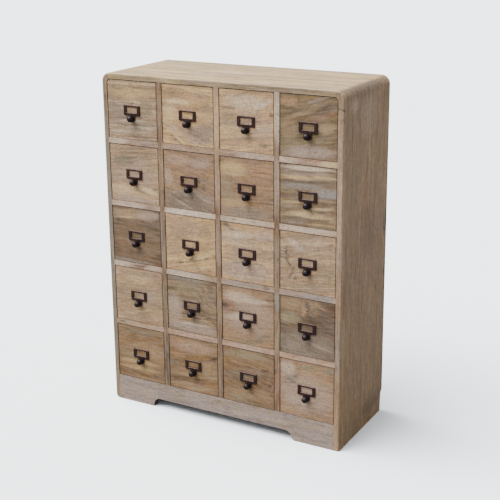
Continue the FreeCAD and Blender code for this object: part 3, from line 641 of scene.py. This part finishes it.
        (66, 106, 84, 2.8, -1, "bark", .4), (66, 82, 84, 18, 0, "gold", .5),
        (110, 76, 34, 26, 0, "tan", .6), (60, 44, 84, 8, 2, "butter", .55),
        (60, 28, 80, 8, 1, "butter", .55), (30, 60, 34, 14, 0, "moss", .6),
        (44, 17, 50, 3.4, -3, "bark", .7), (112, 16, 26, 5, 3, "bark", .7),
        (90, 6, 54, 5, 0, "gold", .5))),
    "r5c2": ("honey", 5, 20, 170, 12, 18, 1.3, (
        (66, 112, 84, 22, 0, "pink", .6), (30, 120, 50, 4, 2, "orange", .6),
        (105, 85, 32, 2.8, 18, "bark", 1), (123, 93, 12, 9, 60, "bark", 1),
        (14, 62, 22, 12, -8, "brown", 1), (26, 24, 44, 26, 0, "bark", .5),
        (20, 86, 26, 10, 0, "orange", .5), (86, 22, 30, 9, 16, "rust", .8),
        (66, 12, 84, 12, 0, "tan", .7), (110, 60, 30, 34, 0, "tan", .55),
        (112, 50, 28, 4, 8, "bark", .35), (40, 40, 36, 6, 4, "butter", .3))),
    "r5c3": ("honey", -8, 30, 190, 14, 18, 1.0, (
        (66, 60, 96, 66, 0, "bark", .25), (66, 76, 92, 17, 14, "brown", .95),
        (22, 66, 26, 24, 0, "bark", .18), (92, 88, 54, 6, 12, "rust", .6),
        (118, 57, 16, 13, -20, "rust", 1, 14), (119, 57, 9, 9, -30, "bark", 1),
        (108, 92, 15, 5, 10, "bark", 1), (110, 66, 28, 30, 0, "bark", .32),
        (60, 120, 78, 14, 0, "moss", .8), (66, 24, 90, 16, 0, "tan", .5),
        (34, 12, 38, 8, -4, "moss", .75), (60, 6, 70, 5, 0, "olive", .6))),
    "r5c4": ("rose", 2, 30, -200, 13, 16, 1.0, (
        (66, 56, 96, 66, 0, "pinkgrey", .6), (28, 92, 26, 24, 0, "grey", .75),
        (22, 86, 14, 3.4, 4, "umber", .7), (34, 95, 12, 3, 0, "umber", .7),
        (16, 76, 10, 3, 0, "umber", .6), (30, 80, 10, 3, 0, "umber", .6),
        (18, 112, 26, 22, 0, "white", .5), (70, 120, 34, 11, 3, "moss", 1),
        (120, 122, 18, 11, 0, "olive", 1), (100, 90, 38, 7, 4, "tan", .6),
        (104, 60, 34, 18, 0, "tan", .35), (40, 40, 40, 12, 0, "pinkgrey", .6),
        (70, 16, 68, 4, -3, "brown", .35)))}
for index, (tag, spec) in enumerate(DRAWERS.items()):
    tones, slope, heart_x, heart_z, band, wave, contrast, its_marks = spec
    low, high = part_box("drawer_" + tag)
    left, bottom = low.x * MM, low.z * MM
    material = empty_material("limed mango, drawer " + tag)
    tree = material.node_tree
    position = add(tree, "TexCoord", {}, {}).outputs["Object"]
    # Behind the front, x and y change places, so that the grain runs along the sides
    split = add(tree, "SeparateXYZ", {}, {0: position})
    behind = add(tree, "Math", {"operation": "GREATER_THAN"},
                 {0: split.outputs["Y"], 1: SIDES_FROM})
    ahead = add(tree, "Math", {"operation": "LESS_THAN"}, {0: split.outputs["Y"], 1: SIDES_TO})
    box = add(tree, "Math", {"operation": "MULTIPLY"}, {0: behind, 1: ahead})
    swapped = add(tree, "CombineXYZ", {}, {0: split.outputs["Y"], 1: split.outputs["X"],
                                           2: split.outputs["Z"]})
    laid = add(tree, "Mix", {"data_type": "VECTOR"}, {0: box, 4: position, 5: swapped})
    marks = [(left + across, bottom + up, *rest) for across, up, *rest in its_marks]
    cut = wood(WOODS[tones], (0.0, math.radians(slope), 0.0),
               (left + MIDDLE + heart_x, FACE_Y + HEART_BEHIND, bottom + MIDDLE + heart_z),
               50.0 + index, face_at=FACE_Y, wave=wave, band=band, contrast=contrast, lime=0.22,
               drift=0.75)
    colour, rough, relief = marked_wood(tree, laid, cut, marks, "y")
    # Painted shade: the front's sides are darkened at the edge, and its top more, for the shadow
    # under the rail above
    middle = add(tree, "VectorMath", {"operation": "SUBTRACT"},
                 {0: position, 1: (low + high) / 2})
    offset = add(tree, "SeparateXYZ", {}, {0: middle})
    sides = add(tree, "Math", {"operation": "ABSOLUTE"}, {0: offset.outputs["X"]})
    for value, half, dark in ((sides, (high.x - low.x) / 2, 0.32),
                              (offset.outputs["Z"], (high.z - low.z) / 2, 0.65)):
        rim_shade = add(tree, "MapRange", {"interpolation_type": "SMOOTHSTEP"},
                  {"Value": value, "From Min": half - RIM, "From Max": half, "To Min": 0.0,
                   "To Max": dark})
        colour = add(tree, "Mix", {"data_type": "RGBA"},
                     {0: rim_shade, 6: colour, 7: linear(STAIN_AND_SHADE["ink"])}).outputs[2]
    matt_board(tree, colour, rough, relief)
    dress("drawer_" + tag, material)

# --- Pulls ------------------------------------------------------------------------------------
# Cast iron label frames with a turned knob below, in a near-black oil-rubbed bronze finish that
# is worn browner where fingers reach and has the slight pits of a sand casting.
BRONZE, WORN_BRONZE, KNOB_BRONZE = "#3b2c2b", "#4a3831", "#2a2425"
KNOB_FROM, KNOB_TO = -0.1170, -0.1195  # y over which the frame's tone turns into the knob's
iron = empty_material("cast iron, oil-rubbed bronze finish")
tree = iron.node_tree
position = add(tree, "TexCoord", {}, {}).outputs["Object"]
# Casting pits are 0.3 to 0.6 mm, drawn over a millimetre so that they show
pits = add(tree, "TexNoise", {}, {"Vector": position, "Scale": 700.0, "Detail": 3.0,
                                  "Roughness": 0.6})
worn = add(tree, "TexNoise", {}, {"Vector": position, "Scale": 95.0, "Detail": 3.0})
wear = add(tree, "MapRange", {"interpolation_type": "SMOOTHSTEP"},
           {"Value": worn, "From Min": 0.45, "From Max": 0.72})
bronze = add(tree, "Mix", {"data_type": "RGBA"},
             {0: wear, 6: linear(BRONZE), 7: linear(WORN_BRONZE)})
speckle = add(tree, "MapRange", {}, {"Value": pits, **SPREAD, "To Min": 0.75, "To Max": 1.3})
# The knob is handled more than the frame behind it, and is blacker
proud = add(tree, "MapRange", {"interpolation_type": "SMOOTHSTEP"},
            {"Value": add(tree, "SeparateXYZ", {}, {0: position}).outputs["Y"],
             "From Min": KNOB_FROM, "From Max": KNOB_TO})
bronze = add(tree, "Mix", {"data_type": "RGBA"},
             {0: proud, 6: bronze.outputs[2], 7: linear(KNOB_BRONZE)})
bronze = add(tree, "VectorMath", {"operation": "SCALE"},
             {0: bronze.outputs[2], "Scale": speckle})
rough = add(tree, "MapRange", {}, {"Value": pits, **SPREAD, "To Min": 0.54, "To Max": 0.42})
bump = add(tree, "Bump", {}, {"Strength": 0.4, "Distance": 0.0004, "Height": pits})
shader = add(tree, "BsdfPrincipled", {}, {"Base Color": bronze, "Metallic": 0.85,
                                          "Roughness": rough, "Normal": bump})
add(tree, "OutputMaterial", {}, {"Surface": shader})
for tag in DRAWERS:
    dress("pull_" + tag, iron)

# --- Floor ------------------------------------------------------------------------------------
# A sweep of pale matt paper, far wider than the view. The camera sees it at full brightness, and
# it throws back less than paper would, so that the cabinet's shaded side stays in shade.
HALF_SWEEP = 60.0  # metres
PAPER_SEEN, PAPER_LIT = "#f4f8fc", "#6a6c6e"
floor_mesh = bpy.data.meshes.new("floor")
floor_mesh.from_pydata([(-HALF_SWEEP, -HALF_SWEEP, 0), (HALF_SWEEP, -HALF_SWEEP, 0),
                        (HALF_SWEEP, HALF_SWEEP, 0), (-HALF_SWEEP, HALF_SWEEP, 0)], [],
                       [(0, 1, 2, 3)])
floor = bpy.data.objects.new("floor", floor_mesh)
bpy.context.scene.collection.objects.link(floor)
paper = empty_material("pale paper sweep")
tree = paper.node_tree
tone = add(tree, "Mix", {"data_type": "RGBA"},
           {0: add(tree, "LightPath", {}, {}), 6: linear(PAPER_LIT), 7: linear(PAPER_SEEN)})
shader = add(tree, "BsdfPrincipled", {}, {"Base Color": tone, "Roughness": 1.0,
                                          "Specular IOR Level": 0.0})
add(tree, "OutputMaterial", {}, {"Surface": shader})
floor_mesh.materials.append(paper)
floor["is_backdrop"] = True

# --- Lights -----------------------------------------------------------------------------------
# One very wide soft light, 30 degrees off overhead to the left and the front, and an even pale
# sky that looks brighter than it shines.
SKY = "#f4f8fa"
SKY_LIGHT, SKY_SEEN = 0.92, 4.6  # its strength as light, and as the camera sees it
world = bpy.data.worlds.new("studio")
bpy.context.scene.world = world
world.use_nodes = True
tree = world.node_tree
sky = tree.nodes["Background"]
sky.inputs["Color"].default_value = linear(SKY)
bright = add(tree, "MapRange", {}, {"Value": add(tree, "LightPath", {}, {}),
                                    "To Min": SKY_LIGHT, "To Max": SKY_SEEN})
tree.links.new(bright.outputs[0], sky.inputs["Strength"])

soft_light = bpy.data.lights.new("overhead", "SUN")
soft_light.energy = 11.5
soft_light.angle = math.radians(58)
lamp = bpy.data.objects.new("overhead", soft_light)
bpy.context.scene.collection.objects.link(lamp)
lamp.rotation_euler = Vector((2.0, 1.1, -3.9)).to_track_quat("-Z", "Y").to_euler()

# --- Camera -----------------------------------------------------------------------------------
# A long lens 2.5 m away, off the cabinet's front right corner and above its top, looking down
# 16 degrees.
view_data = bpy.data.cameras.new("view")
view_data.sensor_width = 36.0
view_data.lens = 77.64
view_data.shift_y = -0.06
view_data.clip_end = 200.0
view = bpy.data.objects.new("view", view_data)
bpy.context.scene.collection.objects.link(view)
azimuth, pitch, roll = math.radians(29.157), math.radians(16.095), math.radians(0.495)
view.location = (1.1765, -2.0774, 1.1519)
turned = (Matrix.Rotation(azimuth, 3, "Z") @ Matrix.Rotation(QUARTER - pitch, 3, "X")
          @ Matrix.Rotation(-roll, 3, "Z"))
view.rotation_euler = turned.to_euler()
bpy.context.scene.camera = view

low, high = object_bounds()
